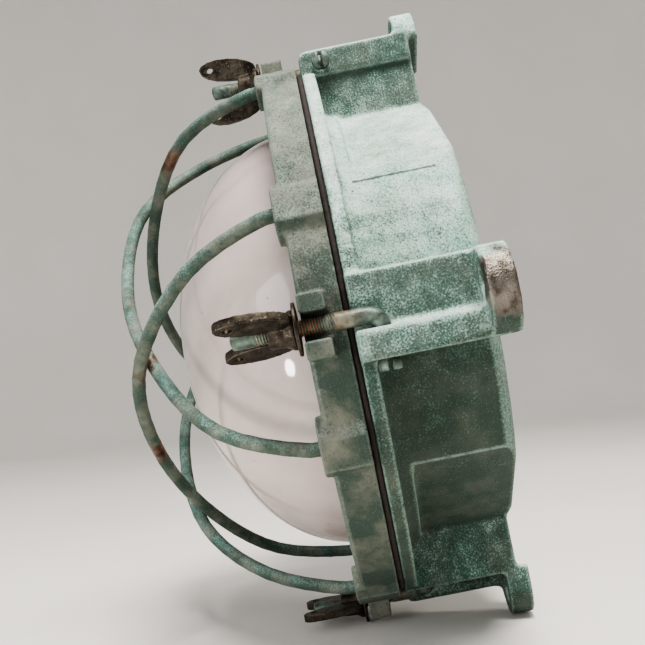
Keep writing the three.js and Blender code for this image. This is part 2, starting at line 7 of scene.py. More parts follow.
from __future__ import annotations

import logging
import math
from dataclasses import dataclass, field
from enum import Enum

import bmesh
import bpy
from mathutils import Euler, Matrix, Vector
from mathutils.kdtree import KDTree

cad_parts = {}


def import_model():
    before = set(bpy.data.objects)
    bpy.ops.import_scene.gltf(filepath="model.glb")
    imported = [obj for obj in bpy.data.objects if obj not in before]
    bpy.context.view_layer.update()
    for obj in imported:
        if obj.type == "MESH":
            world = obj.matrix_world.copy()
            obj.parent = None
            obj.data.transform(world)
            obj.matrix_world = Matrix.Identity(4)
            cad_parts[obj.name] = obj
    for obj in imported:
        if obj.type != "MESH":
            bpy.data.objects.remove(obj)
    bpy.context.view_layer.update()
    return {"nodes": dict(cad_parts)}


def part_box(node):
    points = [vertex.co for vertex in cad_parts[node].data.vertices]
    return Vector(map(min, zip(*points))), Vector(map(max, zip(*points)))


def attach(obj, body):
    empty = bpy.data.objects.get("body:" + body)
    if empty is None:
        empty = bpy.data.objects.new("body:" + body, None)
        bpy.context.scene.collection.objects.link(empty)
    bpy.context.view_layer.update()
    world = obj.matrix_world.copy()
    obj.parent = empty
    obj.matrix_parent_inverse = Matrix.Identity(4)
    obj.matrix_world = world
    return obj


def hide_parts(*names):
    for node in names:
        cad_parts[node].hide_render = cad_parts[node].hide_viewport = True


LOG = logging.getLogger("bulkhead_light")
MM = 0.001
STATIONS = 4
WELD = 0.005 * MM  # joins the frame's loose triangles
SEAM = 0.01 * MM  # closes the poles of a spun shape
BENCH_TO_ROW = Matrix.Rotation(math.pi / 2, 4, "X")  # z out of the globe becomes -Y


class Body(str, Enum):
    """The frame's bodies that hold more than one piece."""

    HOUSING = "housing_body"
    COVER = "cover_body"


class Slot(str, Enum):
    """Names of the material slots."""

    CASTING = "verdigris_casting"
    WIRE = "verdigris_wire"
    BOLT = "bolt_bronze"
    DARK = "dark_bronze"
    GASKET = "gasket_rubber"
    OPAL = "opal_glass"
    BRASS = "brass_fittings"
    STEEL = "plated_steel"
    PORCELAIN = "porcelain"
    CLEAR = "clear_glass"


# ------------------------------------------------------------------ nodes and colours


def linear(code: str) -> tuple[float, float, float, float]:
    """Turns an sRGB hex colour into linear RGBA.

    Args:
        code: Six hex digits, with or without a leading hash.

    Returns:
        Red, green, blue and an alpha of 1.
    """
    digits = code.lstrip("#")
    shares = [int(digits[i : i + 2], 16) / 255 for i in (0, 2, 4)]
    bent = [s / 12.92 if s <= 0.04045 else ((s + 0.055) / 1.055) ** 2.4 for s in shares]
    return (bent[0], bent[1], bent[2], 1.0)


def add_node(
    tree: bpy.types.NodeTree,
    kind: str,
    inputs: dict | None = None,
    stops: list[tuple[float, str]] | None = None,
    **settings: object,
) -> bpy.types.Node:
    """Adds one shader node.

    Args:
        tree: The material's node tree.
        kind: The node's type, without its ShaderNode prefix.
        inputs: Socket names or indices with a value, or with another node's output to link.
        stops: Positions and hex colours of a colour ramp.
        **settings: The node's own properties.

    Returns:
        The new node.
    """
    made = tree.nodes.new("ShaderNode" + kind)
    for name, value in settings.items():
        setattr(made, name, value)
    for key, value in (inputs or {}).items():
        if isinstance(value, bpy.types.NodeSocket):
            tree.links.new(value, made.inputs[key])
        else:
            made.inputs[key].default_value = value
    if stops:
        elements = made.color_ramp.elements
        while len(elements) < len(stops):
            elements.new(1.0)
        for element, (position, code) in zip(elements, stops):
            element.position = position
            element.color = linear(code)
    return made


def new_material(name: str) -> tuple[bpy.types.Material, bpy.types.NodeTree]:
    """Makes an empty node material.

    Args:
        name: The finish's name.

    Returns:
        The material and its cleared node tree.
    """
    material = bpy.data.materials.new(name)
    material.use_nodes = True
    material.node_tree.nodes.clear()
    return material, material.node_tree


def grain_of(place: bpy.types.NodeSocket, size_mm: float, detail: float = 3.0) -> dict:
    """Settings of a noise whose blobs are about a given size.

    Args:
        place: The coordinates it follows.
        size_mm: The real size of a blob, in millimetres.
        detail: How many finer layers it has.

    Returns:
        The noise node's inputs.
    """
    return {"Vector": place, "Scale": 1 / (size_mm * MM), "Detail": detail, "Roughness": 0.6}


def span(
    value: bpy.types.NodeSocket,
    start: tuple[float, float],
    end: tuple[float, float] = (0.0, 1.0),
) -> dict:
    """Settings that map one range of a value to another.

    Args:
        value: The value.
        start: The range it is read over, which may run downwards.
        end: The range it is given.

    Returns:
        The map range node's inputs.
    """
    ends = {"From Min": start[0], "From Max": start[1], "To Min": end[0], "To Max": end[1]}
    return {"Value": value, **ends}


def shifted(
    tree: bpy.types.NodeTree,
    base: bpy.types.NodeSocket,
    pattern: bpy.types.NodeSocket,
    amount: float,
) -> bpy.types.NodeSocket:
    """Adds a pattern, centred on zero, to a value.

    Args:
        tree: The material's node tree.
        base: The value.
        pattern: A pattern about 0.5 on average.
        amount: How far the pattern moves the value.

    Returns:
        The shifted value.
    """
    centred = add_node(
        tree, "Math", {0: pattern, 1: amount, 2: -amount / 2}, operation="MULTIPLY_ADD"
    ).outputs[0]
    return add_node(tree, "Math", {0: base, 1: centred}, operation="ADD").outputs[0]


# ------------------------------------------------------------------ finishes


@dataclass(frozen=True)
class BarePatch:
    """A place where handling or rubbing has bared the metal."""

    centre: tuple[float, float, float]
    reach: float


@dataclass(frozen=True)
class Patina:
    """Sand-cast gunmetal under verdigris: salt-pale on top and deep green below, partly real
    salts and partly painted light from above with painted shade beneath; brown where worn.

    The copper salts are dull and not metallic, so the metal shows only on edges and bare patches.
    """

    name: str
    deep: str = "#283a30"
    green: str = "#49625a"
    pale: str = "#97b5a9"
    salt: str = "#cfdcd8"
    bloom_low: str = "#3f6f61"
    bloom_high: str = "#a9d3c8"
    earth: str = "#77766a"
    worn: str = "#3f3932"
    bright: str = "#8f8880"
    salt_and_painted_light: float = 0.5  # how strongly the upper faces turn pale: partly settled salts, partly painted light from above
    balance: float = 0.0  # shifts the whole patina paler or deeper
    facing: tuple[float, float] = (-0.4, 0.45)  # the slopes, by normal Z, that it changes over
    salt_and_painted_light_reach: float = 0.36  # how far it changes each way, with painted light above and painted shade below
    levels: tuple[float, ...] = (0.12, 0.42, 0.66, 0.95)  # where each of its four greens lies
    blotch: float = 0.8  # strength of the large, middle and fine patterns
    cloud: float = 0.6
    grit: float = 1.0
    grit_mm: float = 0.9  # sand grit is nearer 0.3 mm; drawn coarser so that it shows
    fleck_size: float = 1.7  # sizes of the dark pits, clouds and tints, by grit and blotch
    cloud_size: float = 1 / 4.5
    tint_size: float = 0.6
    blotch_mm: float = 38.0
    earthy: float = 0.3
    earth_span: tuple[float, float] = (0.45, 0.7)
    flecked: float = 0.8
    fleck_span: tuple[float, float] = (0.39, 0.31)
    bloomed: float = 0.7
    bloom_span: tuple[float, float] = (0.46, 0.3)
    # how far convex edges turn pale: partly salts, partly a painted highlight
    edge_salt_and_highlight: float = 0.65
    edge_ragged: float = 1.2
    edge_span: tuple[float, float] = (0.1, 0.9)
    wear: float = 0.6
    wear_ragged: float = 2.4
    wear_span: tuple[float, float] = (0.85, 1.25)
    patch_ragged: float = 1.6  # by the patch's own reach
    patch_core: float = 0.6
    relief_mm: float = 0.5
    relief: float = 0.85
    cloud_relief: float = 0.8
    roughness: tuple[float, float] = (0.82, 0.33)  # under salts, and where the metal is bare
    metallic: tuple[float, float] = (0.05, 0.85)
    patches: tuple[BarePatch, ...] = ()
    crack: tuple[tuple[float, float, float], tuple[float, float, float]] | None = None
    crack_half_mm: float = 0.8
    crack_wavering: float = 4.0
    crack_span: tuple[float, float] = (1.3, 0.5)  # by its half width
    crack_depth: float = 0.85

    def build(self) -> bpy.types.Material:
        """Builds the material.

        Returns:
            The finished material.
        """
        material, tree = new_material(self.name)
        place = add_node(tree, "TexCoord").outputs["Object"]
        sizes = {
            "blotch": (self.blotch_mm, 5),
            "cloud": (self.blotch_mm * self.cloud_size, 6),
            "grit": (self.grit_mm, 2),
            "fleck": (self.grit_mm * self.fleck_size, 3),
            "tint": (self.blotch_mm * self.tint_size, 4),
        }
        noises = {
            name: add_node(tree, "TexNoise", grain_of(place, *size)).outputs["Fac"]
            for name, size in sizes.items()
        }
        cloud = noises["cloud"]
        grit = noises["grit"]
        level = self._level(tree, noises)
        codes = (self.deep, self.green, self.pale, self.salt)
        stops = list(zip(self.levels, codes))
        patina = add_node(tree, "ValToRGB", {"Fac": level}, stops=stops).outputs["Color"]
        stops = [(0.15, self.deep), (0.5, self.bloom_low), (0.95, self.bloom_high)]
        bloom = add_node(tree, "ValToRGB", {"Fac": level}, stops=stops).outputs["Color"]
        stops = [(0.36, self.worn), (0.66, self.bright)]
        metal = add_node(tree, "ValToRGB", {"Fac": cloud}, stops=stops).outputs["Color"]
        edge = add_node(tree, "Attribute", attribute_name="edge").outputs["Fac"]
        ragged = shifted(tree, edge, grit, self.edge_ragged)
        spans = [
            (span(noises["tint"], self.earth_span, (0.0, self.earthy)), linear(self.earth)),
            (span(noises["fleck"], self.fleck_span, (0.0, self.flecked)), linear(self.deep)),
            (span(noises["tint"], self.bloom_span, (0.0, self.bloomed)), bloom),
            # Pale line along convex edges: partly salts, partly a painted highlight.
            (span(ragged, self.edge_span, (0.0, self.edge_salt_and_highlight)), linear(self.pale)),
        ]
        if self.crack:
            spans.append((self._crack(tree, place, cloud), linear(self.deep)))
        colour = patina
        for inputs, above in spans:
            share = add_node(tree, "MapRange", inputs).outputs["Result"]
            inputs = {0: share, 6: colour, 7: above}
            colour = add_node(tree, "Mix", inputs, data_type="RGBA").outputs[2]
        worn = self._worn(tree, edge, place, cloud)
        inputs = {0: worn, 6: colour, 7: metal}
        colour = add_node(tree, "Mix", inputs, data_type="RGBA").outputs[2]
        bumps = {
            "Strength": self.relief,
            "Distance": self.relief_mm * MM,
            "Height": shifted(tree, grit, cloud, self.cloud_relief),
        }
        inputs = {
            "Base Color": colour,
            "Roughness": add_node(
                tree, "MapRange", span(worn, (0.0, 1.0), self.roughness)
            ).outputs["Result"],
            "Metallic": add_node(
                tree, "MapRange", span(worn, (0.0, 1.0), self.metallic)
            ).outputs["Result"],
            "Normal": add_node(tree, "Bump", bumps).outputs["Normal"],
        }
        shader = add_node(tree, "BsdfPrincipled", inputs)
        add_node(tree, "OutputMaterial", {"Surface": shader.outputs[0]})
        return material

    def _level(
        self, tree: bpy.types.NodeTree, noises: dict[str, bpy.types.NodeSocket]
    ) -> bpy.types.NodeSocket:
        """How pale the patina is: paler where a face looks up, partly settled salts and partly
        painted light from above with painted shade on faces that look down, and broken up at
        three sizes.

        Args:
            tree: The material's node tree.
            noises: The patterns, by name.

        Returns:
            The level, 0 at its deepest and 1 at its palest.
        """
        normal = add_node(tree, "NewGeometry").outputs["Normal"]
        # Paler where a face looks up and deeper where it looks down: partly settled salts, partly
        # painted light from above and painted shade below.
        upright = add_node(tree, "SeparateXYZ", {0: normal}).outputs["Z"]
        change = (-self.salt_and_painted_light_reach, self.salt_and_painted_light_reach)
        salt_and_painted_light_share = add_node(tree, "MapRange", span(upright, self.facing, change)).outputs["Result"]
        inputs = {0: salt_and_painted_light_share, 1: self.salt_and_painted_light, 2: 0.5 + self.balance}
        level = add_node(tree, "Math", inputs, operation="MULTIPLY_ADD").outputs[0]
        for name, amount in (("blotch", self.blotch), ("cloud", self.cloud), ("grit", self.grit)):
            level = shifted(tree, level, noises[name], amount)
        return level

    def _crack(
        self,
        tree: bpy.types.NodeTree,
        place: bpy.types.NodeSocket,
        cloud: bpy.types.NodeSocket,
    ) -> dict:
        """The casting's one shallow crack, as a thin wavering line.

        Args:
            tree: The material's node tree.
            place: Object coordinates.
            cloud: A medium noise that makes the line waver.

        Returns:
            The inputs of a map range node that is 1 along the crack.
        """
        start, end = (Vector(point) for point in self.crack)
        line = end - start
        away = add_node(tree, "VectorMath", {0: place, 1: start}, operation="SUBTRACT").outputs[0]
        along = add_node(
            tree, "VectorMath", {0: away, 1: line / line.length_squared}, operation="DOT_PRODUCT"
        ).outputs["Value"]
        share = add_node(tree, "Math", {0: along, 1: 1.0}, operation="MULTIPLY", use_clamp=True)
        nearest = add_node(
            tree, "VectorMath", {0: share.outputs[0], 1: line, 2: start}, operation="MULTIPLY_ADD"
        ).outputs[0]
        apart = add_node(
            tree, "VectorMath", {0: place, 1: nearest}, operation="DISTANCE"
        ).outputs["Value"]
        half = self.crack_half_mm * MM
        wavering = shifted(tree, apart, cloud, self.crack_wavering * half)
        first, last = self.crack_span
        return span(wavering, (first * half, last * half), (0.0, self.crack_depth))

    def _worn(
        self,
        tree: bpy.types.NodeTree,
        edge: bpy.types.NodeSocket,
        place: bpy.types.NodeSocket,
        cloud: bpy.types.NodeSocket,
    ) -> bpy.types.NodeSocket:
        """Where the metal shows: along convex edges, and in the bare patches.

        Args:
            tree: The material's node tree.
            edge: The "edge" attribute.
            place: Object coordinates.
            cloud: A medium noise that breaks up the borders.

        Returns:
            The mask, 0 under patina and 1 on bare metal.
        """
        ragged = shifted(tree, edge, cloud, self.wear_ragged)
        inputs = span(ragged, self.wear_span, (0.0, self.wear))
        worn = add_node(tree, "MapRange", inputs).outputs["Result"]
        for patch in self.patches:
            apart = add_node(
                tree, "VectorMath", {0: place, 1: patch.centre}, operation="DISTANCE"
            ).outputs["Value"]
            border = shifted(tree, apart, cloud, self.patch_ragged * patch.reach)
            inputs = span(border, (patch.reach, self.patch_core * patch.reach))
            bare = add_node(tree, "MapRange", inputs).outputs["Result"]
            worn = add_node(tree, "Math", {0: worn, 1: bare}, operation="MAXIMUM").outputs[0]
        return worn


@dataclass(frozen=True)
class HandledMetal:
    """Cast or turned metal that hands and spanners keep dark and half polished."""

    name: str
    dark: str
    light: str
    fleck: str
    roughness: float = 0.42
    metallic: float = 0.9
    mottle_mm: float = 5.0
    grain_mm: float = 0.9  # pitting is nearer 0.3 mm; drawn coarser so that it shows
    relief_mm: float = 0.15
    relief: float = 0.7
    edge_span: tuple[float, float] = (0.52, 0.62)  # of Pointiness
    edge_light: float = 0.5
    fleck_span: tuple[float, float] = (0.62, 0.72)
    flecked: float = 0.8

    def build(self) -> bpy.types.Material:
        """Builds the material.

        Returns:
            The finished material.
        """
        material, tree = new_material(self.name)
        place = add_node(tree, "TexCoord").outputs["Object"]
        mottle = add_node(tree, "TexNoise", grain_of(place, self.mottle_mm, 5)).outputs["Fac"]
        grain = add_node(tree, "TexNoise", grain_of(place, self.grain_mm, 3)).outputs["Fac"]
        sharp = add_node(tree, "NewGeometry").outputs["Pointiness"]
        edge = add_node(
            tree, "MapRange", span(sharp, self.edge_span, (0.0, self.edge_light))
        ).outputs["Result"]
        lit = add_node(tree, "Math", {0: mottle, 1: edge}, operation="ADD").outputs[0]
        stops = [(0.35, self.dark), (0.85, self.light)]
        base = add_node(tree, "ValToRGB", {"Fac": lit}, stops=stops).outputs["Color"]
        spots = add_node(
            tree, "MapRange", span(grain, self.fleck_span, (0.0, self.flecked))
        ).outputs["Result"]
        rough = (self.roughness - 0.08, self.roughness + 0.2)
        bumps = {"Strength": self.relief, "Distance": self.relief_mm * MM, "Height": grain}
        flecked = {0: spots, 6: base, 7: linear(self.fleck)}
        inputs = {
            "Base Color": add_node(tree, "Mix", flecked, data_type="RGBA").outputs[2],
            "Metallic": self.metallic,
            "Roughness": add_node(
                tree, "MapRange", span(mottle, (0.3, 0.7), rough)
            ).outputs["Result"],
            "Normal": add_node(tree, "Bump", bumps).outputs["Normal"],
        }
        shader = add_node(tree, "BsdfPrincipled", inputs)
        add_node(tree, "OutputMaterial", {"Surface": shader.outputs[0]})
        return material


@dataclass(frozen=True)
class ThreadedBronze:
    """Turned bronze: grey-green shank, and thread crests rubbed back to copper by the nut.

    The rubbed share comes from the bolt's own "rubbed" attribute.
    """

    name: str = "weathered_turned_bronze"
    shank: str = "#66776d"
    dark: str = "#36403a"
    copper: str = "#c07c4e"
    roughness: float = 0.48
    polish: float = 0.18  # how much smoother the rubbed crests are
    metallic: float = 0.45
    mottle_mm: float = 4.0
    grain_mm: float = 0.8  # tool marks are nearer 0.2 mm; drawn coarser so that they show
    relief_mm: float = 0.12
    relief: float = 0.6

    def build(self) -> bpy.types.Material:
        """Builds the material.

        Returns:
            The finished material.
        """
        material, tree = new_material(self.name)
        place = add_node(tree, "TexCoord").outputs["Object"]
        mottle = add_node(tree, "TexNoise", grain_of(place, self.mottle_mm, 6)).outputs["Fac"]
        grain = add_node(tree, "TexNoise", grain_of(place, self.grain_mm, 2)).outputs["Fac"]
        stops = [(0.36, self.dark), (0.62, self.shank)]
        base = add_node(tree, "ValToRGB", {"Fac": mottle}, stops=stops).outputs["Color"]
        rubbed = add_node(tree, "Attribute", attribute_name="rubbed").outputs["Fac"]
        rough = (self.roughness, self.roughness - self.polish)
        bumps = {"Strength": self.relief, "Distance": self.relief_mm * MM, "Height": grain}
        crests = {0: rubbed, 6: base, 7: linear(self.copper)}
        inputs = {
            "Base Color": add_node(tree, "Mix", crests, data_type="RGBA").outputs[2],
            "Metallic": self.metallic,
            "Roughness": add_node(
                tree, "MapRange", span(rubbed, (0.0, 1.0), rough)
            ).outputs["Result"],
            "Normal": add_node(tree, "Bump", bumps).outputs["Normal"],
        }
        shader = add_node(tree, "BsdfPrincipled", inputs)
        add_node(tree, "OutputMaterial", {"Surface": shader.outputs[0]})
        return material


@dataclass(frozen=True)
class PlainSurface:
    """Moulded, fired or poured material with a fine grain and a slow change of tone."""

    name: str
    low: str
    high: str
    roughness: float
    ior: float = 1.5
    grain_mm: float = 1.0  # drawn coarser than a real grain so that it shows
    tone_mm: float = 25.0
    relief_mm: float = 0.1
    relief: float = 0.5
    transmission: float = 0.0
    subsurface: float = 0.0
    scatter: tuple[float, float, float] = (0.004, 0.003, 0.003)
    coat: float = 0.0
    spot: str | None = None  # the colour of small settled specks
    spot_mm: float = 14.0
    spot_span: tuple[float, float] = (0.05, 0.02)
    spotted: float = 0.75

    def build(self) -> bpy.types.Material:
        """Builds the material.

        Returns:
            The finished material.
        """
        material, tree = new_material(self.name)
        place = add_node(tree, "TexCoord").outputs["Object"]
        tone = add_node(tree, "TexNoise", grain_of(place, self.tone_mm, 4)).outputs["Fac"]
        grain = add_node(tree, "TexNoise", grain_of(place, self.grain_mm, 3)).outputs["Fac"]
        stops = [(0.3, self.low), (0.7, self.high)]
        colour = add_node(tree, "ValToRGB", {"Fac": tone}, stops=stops).outputs["Color"]
        if self.spot:
            inputs = {"Vector": place, "Scale": 1 / (self.spot_mm * MM)}
            cells = add_node(tree, "TexVoronoi", inputs).outputs["Distance"]
            spots = add_node(
                tree, "MapRange", span(cells, self.spot_span, (0.0, self.spotted))
            ).outputs["Result"]
            inputs = {0: spots, 6: colour, 7: linear(self.spot)}
            colour = add_node(tree, "Mix", inputs, data_type="RGBA").outputs[2]
        rough = (max(0.02, self.roughness - 0.04), self.roughness + 0.05)
        bumps = {"Strength": self.relief, "Distance": self.relief_mm * MM, "Height": grain}
        inputs = {
            "Base Color": colour,
            "Roughness": add_node(
                tree, "MapRange", span(tone, (0.3, 0.7), rough)
            ).outputs["Result"],
            "IOR": self.ior,
            "Normal": add_node(tree, "Bump", bumps).outputs["Normal"],
            "Transmission Weight": self.transmission,
            "Subsurface Weight": self.subsurface,
            "Subsurface Radius": self.scatter,
            "Coat Weight": self.coat,
        }
        shader = add_node(tree, "BsdfPrincipled", inputs)
        add_node(tree, "OutputMaterial", {"Surface": shader.outputs[0]})
        return material


class Finishes:
    """Every finish of the light, built once."""

    def __init__(self) -> None:
        """Builds the materials."""
        foot = BarePatch((0.177, -0.005, 0.003), 0.019)
        # Sand-cast gunmetal: dull green salts with a gritty grain, and bare brown where rubbed.
        self.casting = Patina(
            "verdigris_sand_cast_gunmetal",
            # Strong upward paleness: partly salts, partly painted light from above, with painted
            # shade below.
            salt_and_painted_light=1.05,
            balance=-0.09,
            earthy=0.25,
            patches=(foot,),
            crack=((0.1011, -0.0555, 0.0681), (0.1011, -0.0154, 0.0681)),
        ).build()
        # The same gunmetal, wiped by hands: greyer, with less salt and more brown earth.
        self.ring = Patina(
            "grey_green_sand_cast_gunmetal",
            pale="#69756c",
            salt="#8d948a",
            green="#38433c",
            bloom_low="#43564d",
            bloom_high="#87958b",
            # Paler on top and darker in the lower half: partly painted light and shade.
            salt_and_painted_light=0.65,
            balance=-0.1,
            earthy=0.7,
            wear=0.6,
            relief_mm=0.45,
        ).build()
        # Bent bronze rod: deeper green and finer grained, copper-brown where it is knocked.
        self.wire = Patina(
            "verdigris_bronze_rod",
            green="#3d4f46",
            pale="#65807a",
            salt="#94a89f",
            worn="#43342b",
            bright="#70584a",
            bloom_low="#42625a",
            bloom_high="#86a79d",
            # Paler on top and deeper below: partly salts, partly painted light and shade.
            salt_and_painted_light=0.45,
            balance=-0.14,
            earthy=0.6,
            wear=0.6,
            grit_mm=0.8,
            blotch_mm=24.0,
            relief_mm=0.2,
            patches=(
                BarePatch((0.094, -0.152, 0.036), 0.011),
                BarePatch((0.086, -0.176, 0.0), 0.010),
                BarePatch((0.036, -0.152, 0.110), 0.012),
                BarePatch((0.044, -0.186, -0.044), 0.009),
            ),
        ).build()
        # Bronze kept dark by hands and grease: brown and half polished, lighter at its edges.
        self.dark = HandledMetal(
            "handled_brown_bronze", dark="#221f1b", light="#5a5248", fleck="#8b8577"
        ).build()
        # Turned bronze: grey-green, with copper thread crests.
        self.bolt = ThreadedBronze().build()
        # Perished moulded rubber: near black and crumbly, with hardly a highlight.
        self.gasket = PlainSurface(
            "perished_brown_rubber",
            low="#0c0807",
            high="#241814",
            roughness=0.8,
            grain_mm=2.2,
            tone_mm=9.0,
            relief_mm=0.4,
        ).build()
        # Blown glass flashed with opal: milky, glossy, and specked with settled dirt.
        self.opal = PlainSurface(
            "flashed_opal_glass",
            low="#a79c98",
            high="#bdb2ae",
            roughness=0.07,
            tone_mm=60.0,
            relief_mm=0.01,
            subsurface=0.25,
            spot="#7d5a44",
        ).build()
        # Machined brass left to tarnish: dull yellow-brown with soft highlights.
        self.brass = HandledMetal(
            "tarnished_brass", dark="#4a4230", light="#85754e", fleck="#5b6757", mottle_mm=9.0
        ).build()
        # Pressed steel under zinc plate: pale grey, half bright.
        self.steel = HandledMetal(
            "zinc_plated_steel",
            dark="#6f7274",
            light="#a3a6a6",
            fleck="#c2c4c2",
            roughness=0.36,
            mottle_mm=12.0,
        ).build()
        # Fired and glazed porcelain: cream white under a hard gloss.
        self.porcelain = PlainSurface(
            "glazed_porcelain",
            low="#d8d2c4",
            high="#eae5da",
            roughness=0.14,
            ior=1.54,
            coat=0.4,
            relief_mm=0.02,
            spot="#8a7a66",
            spot_mm=9.0,
        ).build()
        # Blown soda-lime glass: clear, and seen by its reflections.
        self.clear = PlainSurface(
            "clear_soda_lime_glass",
            low="#eef2f1",
            high="#f8faf9",
            roughness=0.05,
            ior=1.52,
            transmission=1.0,
            relief_mm=0.005,
        ).build()
        # Matt paper: nearly white and without gloss.
        self.floor = PlainSurface(
            "pale_matt_paper",
            low="#e2e0db",
            high="#e8e6e2",
            roughness=0.75,
            grain_mm=3.0,  # a paper's tooth is nearer 0.3 mm; drawn coarser so that it shows
            tone_mm=300.0,
            relief_mm=0.05,
        ).build()


# ------------------------------------------------------------------ mesh helpers


def station_matrix(index: int) -> Matrix:
    """The place of a station's own frame, u outwards and z out of the globe, in the row frame.

    Args:
        index: The station, from 0 on the +X side and turning towards +Z.

    Returns:
        The matrix.
    """
    turn = 2 * math.pi * index / STATIONS
    return BENCH_TO_ROW @ Matrix.Rotation(turn, 4, "Z")


def new_object(name: str, shape: bmesh.types.BMesh, smooth: bool = True) -> bpy.types.Object:
    """Turns a bmesh into an object at the origin.

    Args:
        name: The piece's name.
        shape: The bmesh, which is freed.
        smooth: Whether its faces shade smoothly.

    Returns:
        The new object.
    """
    mesh = bpy.data.meshes.new(name)
    shape.to_mesh(mesh)
    shape.free()
    for face in mesh.polygons:
        face.use_smooth = smooth
    made = bpy.data.objects.new(name, mesh)
    bpy.context.scene.collection.objects.link(made)
    return made


def merged_copy(node: bpy.types.Object, name: str) -> bpy.types.Object:
    """Copies a frame solid and joins its loose triangles.

    Args:
        node: The frame's object.
        name: The copy's name.

    Returns:
        The copy.
    """
    shape = bmesh.new()
    shape.from_mesh(node.data)
    bmesh.ops.remove_doubles(shape, verts=shape.verts, dist=WELD)
    return new_object(name, shape)


def apply_modifiers(piece: bpy.types.Object) -> None:
    """Makes a piece's modifiers part of its mesh.

    Args:
        piece: The object.
    """
    depsgraph = bpy.context.evaluated_depsgraph_get()
    finished = bpy.data.meshes.new_from_object(piece.evaluated_get(depsgraph))
    piece.modifiers.clear()
    piece.data = finished
    for face in finished.polygons:
        face.use_smooth = True


def mark_edges(piece: bpy.types.Object, sharp: list[Vector], reach: float) -> None:
    """Writes the "edge" attribute: 1 on a casting's convex edges, falling to 0 a little way off.

    Args:
        piece: The softened casting.
        sharp: Points along the edges of the solid it came from.
        reach: How far off the edges the attribute falls to 0.
    """
    tree = KDTree(len(sharp))
    for index, point in enumerate(sharp):
        tree.insert(point, index)
    tree.balance()
    values = [max(0.0, 1 - tree.find(v.co)[2] / reach) for v in piece.data.vertices]
    attribute = piece.data.attributes.new("edge", "FLOAT", "POINT")
    attribute.data.foreach_set("value", values)


def convex_edges(node: bpy.types.Object, least_turn: float, spacing: float) -> list[Vector]:
    """Points along a frame solid's convex edges.

    Args:
        node: The frame's object.
        least_turn: The smallest angle between two faces that counts, in degrees.
        spacing: The distance between points.

    Returns:
        The points.
    """
    shape = bmesh.new()
    shape.from_mesh(node.data)
    bmesh.ops.remove_doubles(shape, verts=shape.verts, dist=WELD)
    points = []
    for edge in shape.edges:
        if not edge.is_manifold or edge.calc_face_angle_signed() < math.radians(least_turn):
            continue
        start, end = (v.co for v in edge.verts)
        steps = max(1, math.ceil((end - start).length / spacing))
        points += [start.lerp(end, i / steps) for i in range(steps + 1)]
    shape.free()
    return points


@dataclass(frozen=True)
class Softening:
    """How a casting's sharp model becomes the real, rounded and uneven surface."""

    grid_mm: float  # spacing of the new surface's points
    rounds: int  # passes that round the edges
    swell_mm: float = 0.0  # makes up for what the rounding takes off
    ripple_mm: float = 0.0  # depth of the cast surface's unevenness
    ripple_size_mm: float = 8.0

    def apply(self, piece: bpy.types.Object) -> None:
        """Rounds and roughens a piece.

        Args:
            piece: A closed mesh.
        """
        grid = piece.modifiers.new("grid", "REMESH")
        grid.mode = "VOXEL"
        grid.voxel_size = self.grid_mm * MM
        rounding = piece.modifiers.new("rounding", "SMOOTH")
        rounding.factor = 0.5
        rounding.iterations = self.rounds
        if self.swell_mm:
            swell = piece.modifiers.new("swell", "DISPLACE")
            swell.strength = self.swell_mm * MM
            swell.mid_level = 0.0
        if self.ripple_mm:
            clouds = bpy.data.textures.new("cast_ripple", "CLOUDS")
            clouds.noise_scale = self.ripple_size_mm * MM
            clouds.noise_depth = 2
            ripple = piece.modifiers.new("ripple", "DISPLACE")
            ripple.texture = clouds
            ripple.texture_coords = "LOCAL"
            ripple.strength = self.ripple_mm * MM
            ripple.mid_level = 0.5
        apply_modifiers(piece)


def dress(
    piece: bpy.types.Object, finish: bpy.types.Material, slot: Slot, body: str, *nodes: str
) -> None:
    """Gives a finished piece its material, body and the frame solids it stands for.

    Args:
        piece: The object.
        finish: Its material.
        slot: The material slot's name; not used.
        body: The frame body it moves with.
        *nodes: The frame solids it replaces.
    """
    piece.data.materials.clear()
    piece.data.materials.append(finish)
    if nodes:
        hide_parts(*nodes)
    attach(piece, body)
    LOG.info("%s: %d faces on %s", piece.name, len(piece.data.polygons), body)


def dress_node(node: bpy.types.Object, finish: bpy.types.Material, edge_mm: float) -> None:
    """Gives a frame solid its material and rounded edges, and leaves its mesh as it is.

    Args:
        node: The frame's object.
        finish: Its material.
        edge_mm: The width of its edge rounding.
    """
    node.data.materials.clear()
    node.data.materials.append(finish)
    for face in node.data.polygons:
        face.use_smooth = True
    weld = node.modifiers.new("weld", "WELD")
    weld.merge_threshold = WELD
    edges = node.modifiers.new("edges", "BEVEL")
    edges.width = edge_mm * MM
    edges.segments = 2
    edges.limit_method = "ANGLE"
    edges.angle_limit = math.radians(32)
    edges.harden_normals = True
    LOG.info("%s: frame solid with rounded edges", node.name)


# ------------------------------------------------------------------ sub-assemblies


